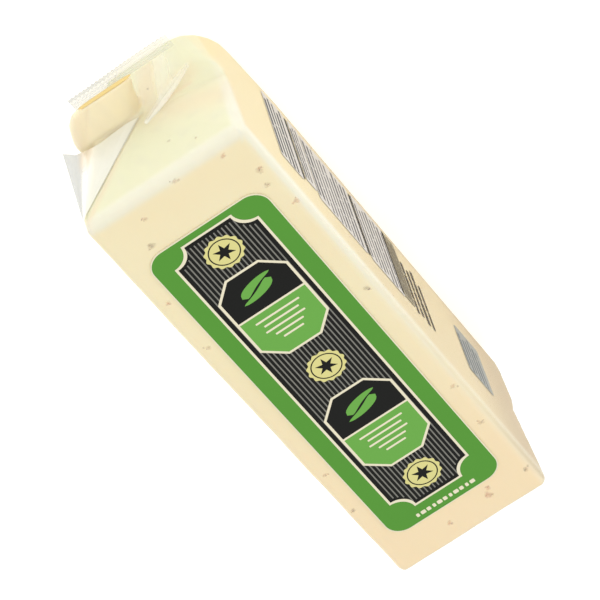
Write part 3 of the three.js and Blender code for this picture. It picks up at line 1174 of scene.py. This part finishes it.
class CHEESE_OT_side_print(bpy.types.Operator):
    """Prints fields of fine bars on the right side of the film"""

    bl_idname = "cheese.side_print"
    bl_label = "Side Print"

    def execute(self, context):
        rng = random.Random(11)
        layers = {name: Print(on_side) for name in SIDE_TONES}
        for y in SIDE_RULES:
            rule = rounded_rectangle(*RULE_SIZE, 0.2 * MM, 2)
            layers["black"].plate(moved(rule, SIDE_MIDDLE, y * MM), INK, 2 * INK)
        for top, bottom, back, front, mean, pitch, tone, ground in SIDE_BLOCKS:
            if ground:
                field = rounded_rectangle((front - back + 2) * MM, (top - bottom + pitch) * MM, 1.5 * MM, 4)
                middle = ((front + back) / 2 * MM, (top + bottom) / 2 * MM)
                layers[ground].plate(moved(field, *middle), 0, INK)
            y = top
            while y >= bottom:
                self.line(layers[tone], rng, y, back, front, mean, pitch)
                y -= pitch
        for name, layer in layers.items():
            material = printed_material("side_ink_" + name, linear(*SIDE_TONES[name]))
            new_piece("side_print_" + name, layer.mesh(), material)
        return {"FINISHED"}

    def line(self, layer, rng, y, back, front, mean, pitch):
        """One line of bars, with its own length and small gaps between the bars."""
        z = front - rng.uniform(0, 4)
        back = back + rng.uniform(0, 6)
        width = BAR_SHARE * pitch * rng.uniform(0.7, 1.1)
        while z - back > 0.2 * mean:
            bar = min(rng.uniform(0.4, 1.4) * mean, z - back)
            outline = rounded_rectangle(bar * MM, width * MM, 0.2 * MM, 2)
            layer.plate(moved(outline, (z - bar / 2) * MM, y * MM), INK, 2 * INK)
            z -= bar + 1.0


# The stage

CAMERA_PLACE = (0.32907, 1.12266, 1.41356)
CAMERA_TARGET = (-0.00118, 0.00052, 0.04686)
CAMERA_UP = (0.53598, 0.58435, -0.60930)
CAMERA_LENS = 231.0
SENSOR = 36.0
FLOOR_HALF = 4.0
SKY_STRENGTH = 0.94
LIGHT_TARGET = (0, 0, 0.05)
# Each light: name, place, width and height in metres, and power in watts
LIGHTS = [
    ("key", (-0.1, 1.5, 1.3), (1.2, 0.9), 3.6),
    ("fill", (1.3, 0.4, 1.2), (1.2, 1.2), 2.7),
]


def add_camera(scene):
    place, target = Vector(CAMERA_PLACE), Vector(CAMERA_TARGET)
    back = (place - target).normalized()
    right = Vector(CAMERA_UP).cross(back).normalized()
    up = back.cross(right)
    data = bpy.data.cameras.new("camera")
    data.lens = CAMERA_LENS
    data.sensor_width = SENSOR
    data.sensor_fit = "HORIZONTAL"
    data.clip_end = 20.0
    camera = bpy.data.objects.new("camera", data)
    camera.matrix_world = Matrix.Translation(place) @ Matrix((right, up, back)).transposed().to_4x4()
    scene.collection.objects.link(camera)
    scene.camera = camera


def add_area_light(scene, name, place, size, power):
    data = bpy.data.lights.new(name, "AREA")
    data.shape = "RECTANGLE"
    data.size, data.size_y = size
    data.energy = power
    light = bpy.data.objects.new(name, data)
    light.location = place
    light.rotation_mode = "QUATERNION"
    light.rotation_quaternion = (Vector(LIGHT_TARGET) - Vector(place)).to_track_quat("-Z", "Y")
    scene.collection.objects.link(light)


def add_floor(scene):
    """A large pale floor that glows a little, so its colour stays even."""
    far = FLOOR_HALF
    corners = [(-far, -far, 0), (far, -far, 0), (far, far, 0), (-far, far, 0)]
    floor = bpy.data.objects.new("floor", mesh_from(corners, [[0, 1, 2, 3]]))
    shader = Shader("floor")
    base = shader.mix(shader.noise(6.0), linear(252, 252, 252), linear(254, 254, 254))
    bright = shader.principled(
        base_color=base,
        roughness=0.9,
        emission_color=(1.0, 1.0, 1.0),
        emission_strength=0.3,
    )
    floor.data.materials.append(shader.finish(bright))
    scene.collection.objects.link(floor)


def add_sky(scene):
    """An even white light from all round."""
    world = bpy.data.worlds.new("studio")
    world.use_nodes = True
    background = world.node_tree.nodes["Background"]
    background.inputs["Color"].default_value = (1.0, 1.0, 1.0, 1.0)
    background.inputs["Strength"].default_value = SKY_STRENGTH
    scene.world = world


class CHEESE_OT_stage(bpy.types.Operator):
    """Adds the camera, the floor and the soft studio light"""

    bl_idname = "cheese.stage"
    bl_label = "Stage"

    def execute(self, context):
        scene = context.scene
        add_camera(scene)
        add_floor(scene)
        add_sky(scene)
        for light in LIGHTS:
            add_area_light(scene, *light)
        scene.view_settings.view_transform = "Standard"
        scene.view_settings.look = "None"
        return {"FINISHED"}


class CHEESE_PT_panel(bpy.types.Panel):
    """Lists the steps that dress the loaf"""

    bl_idname = "CHEESE_PT_panel"
    bl_label = "Wrapped Cheese Loaf"
    bl_space_type = "VIEW_3D"
    bl_region_type = "UI"
    bl_category = "Cheese"

    def draw(self, context):
        for step in STEPS:
            self.layout.operator(step.bl_idname)


STEPS = (
    CHEESE_OT_stage,
    CHEESE_OT_body,
    CHEESE_OT_flecks,
    CHEESE_OT_seals,
    CHEESE_OT_label,
    CHEESE_OT_side_print,
)
SETTINGS = {
    "cheese_body": CheeseSettings,
    "cheese_flecks": FleckSettings,
    "cheese_film": FilmSettings,
    "cheese_label": LabelSettings,
}


def register():
    for item in (*SETTINGS.values(), *STEPS, CHEESE_PT_panel):
        bpy.utils.register_class(item)
    for name, group in SETTINGS.items():
        setattr(bpy.types.Scene, name, PointerProperty(type=group))


def unregister():
    for name in SETTINGS:
        delattr(bpy.types.Scene, name)
    for item in (CHEESE_PT_panel, *reversed(STEPS), *reversed(SETTINGS.values())):
        bpy.utils.unregister_class(item)


def main():
    register()
    for step in STEPS:
        area, action = step.bl_idname.split(".")
        getattr(getattr(bpy.ops, area), action)()


if __name__ == "__main__":
    main()
